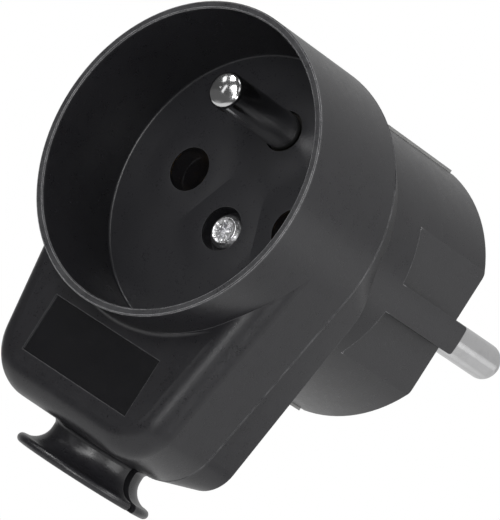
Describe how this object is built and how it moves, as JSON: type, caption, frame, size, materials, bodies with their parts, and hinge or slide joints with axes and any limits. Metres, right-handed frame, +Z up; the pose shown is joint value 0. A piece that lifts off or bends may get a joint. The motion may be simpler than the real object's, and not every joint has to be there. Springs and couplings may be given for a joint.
{
  "type": "pass-through plug adapter",
  "caption": "Black adapter plug with a round recessed socket in front, round plug pins behind, and a trumpet outlet for a lead below.",
  "frame": {"origin": "middle of the plug's contact face, between its two pins", "axes": "+Z up, towards the earth pin; +Y from the socket towards the wall, along the plug pins; +X to the right seen from the socket"},
  "size_m": [0.0408, 0.0634, 0.0599],
  "materials": {
    "shell_plastic": "satin",
    "contact_brass": "satin",
    "nickel_plate": "polished",
    "zinc_steel": "satin",
    "spring_steel": "satin"
  },
  "bodies": {
    "base": {"rear_shell": "shell_plastic", "threaded_insert": "contact_brass", "contact_sleeve_left": "contact_brass", "contact_sleeve_right": "contact_brass", "contact_link_left": "contact_brass", "contact_link_right": "contact_brass", "terminal_block_left": "contact_brass", "terminal_block_right": "contact_brass", "terminal_block_earth": "contact_brass", "plug_earth_sleeve": "contact_brass", "earth_bridge": "contact_brass", "plug_pin_left": "nickel_plate", "plug_pin_right": "nickel_plate", "socket_earth_pin": "nickel_plate", "side_earth_strip_top": "nickel_plate", "side_earth_strip_bottom": "nickel_plate", "contact_spring_left": "spring_steel", "contact_spring_right": "spring_steel"},
    "front_cover": {"front_shell": "shell_plastic"},
    "centre_screw": {"centre_screw": "zinc_steel"},
    "clamp_bar": {"cable_clamp_bar": "zinc_steel"},
    "clamp_screw_left": {"clamp_screw_left": "zinc_steel"},
    "clamp_screw_right": {"clamp_screw_right": "zinc_steel"},
    "terminal_saddle_left": {"terminal_saddle_left": "zinc_steel"},
    "terminal_screw_left": {"terminal_screw_left": "zinc_steel"},
    "terminal_saddle_right": {"terminal_saddle_right": "zinc_steel"},
    "terminal_screw_right": {"terminal_screw_right": "zinc_steel"},
    "terminal_saddle_earth": {"terminal_saddle_earth": "zinc_steel"},
    "terminal_screw_earth": {"terminal_screw_earth": "zinc_steel"}
  },
  "joints": [
    {"name": "cover_slide", "type": "slide", "parent": "base", "child": "front_cover", "axis": [0, -1, 0], "range_m": [0, 0.025]},
    {"name": "centre_screw_turn", "type": "hinge", "parent": "front_cover", "child": "centre_screw", "pos_m": [0, -0.0299, -0.0042], "axis": [0, -1, 0], "continuous": true},
    {"name": "clamp_bar_slide", "type": "slide", "parent": "base", "child": "clamp_bar", "axis": [0, -1, 0], "range_m": [0, 0.0014]},
    {"name": "clamp_screw_left_turn", "type": "hinge", "parent": "clamp_bar", "child": "clamp_screw_left", "pos_m": [-0.00785, -0.0332, -0.0302], "axis": [0, -1, 0], "range_deg": [0, 631]},
    {"name": "clamp_screw_right_turn", "type": "hinge", "parent": "clamp_bar", "child": "clamp_screw_right", "pos_m": [0.00785, -0.0332, -0.0302], "axis": [0, -1, 0], "range_deg": [0, 631]},
    {"name": "terminal_saddle_left_slide", "type": "slide", "parent": "base", "child": "terminal_saddle_left", "axis": [0, -1, 0], "range_m": [0, 0.0016]},
    {"name": "terminal_screw_left_turn", "type": "hinge", "parent": "terminal_saddle_left", "child": "terminal_screw_left", "pos_m": [-0.0085, -0.03, -0.02305], "axis": [0, -1, 0], "range_deg": [0, 721]},
    {"name": "terminal_saddle_right_slide", "type": "slide", "parent": "base", "child": "terminal_saddle_right", "axis": [0, -1, 0], "range_m": [0, 0.0016]},
    {"name": "terminal_screw_right_turn", "type": "hinge", "parent": "terminal_saddle_right", "child": "terminal_screw_right", "pos_m": [0.0085, -0.03, -0.02305], "axis": [0, -1, 0], "range_deg": [0, 721]},
    {"name": "terminal_saddle_earth_slide", "type": "slide", "parent": "base", "child": "terminal_saddle_earth", "axis": [0, -1, 0], "range_m": [0, 0.0016]},
    {"name": "terminal_screw_earth_turn", "type": "hinge", "parent": "terminal_saddle_earth", "child": "terminal_screw_earth", "pos_m": [0, -0.03, -0.02445], "axis": [0, -1, 0], "range_deg": [0, 721]}
  ],
  "couplings": [
    {"joint": "clamp_screw_left_turn", "follows": "clamp_bar_slide", "rad_per_m": 7854},
    {"joint": "clamp_screw_right_turn", "follows": "clamp_bar_slide", "rad_per_m": 7854},
    {"joint": "terminal_screw_left_turn", "follows": "terminal_saddle_left_slide", "rad_per_m": 7854},
    {"joint": "terminal_screw_right_turn", "follows": "terminal_saddle_right_slide", "rad_per_m": 7854},
    {"joint": "terminal_screw_earth_turn", "follows": "terminal_saddle_earth_slide", "rad_per_m": 7854}
  ]
}
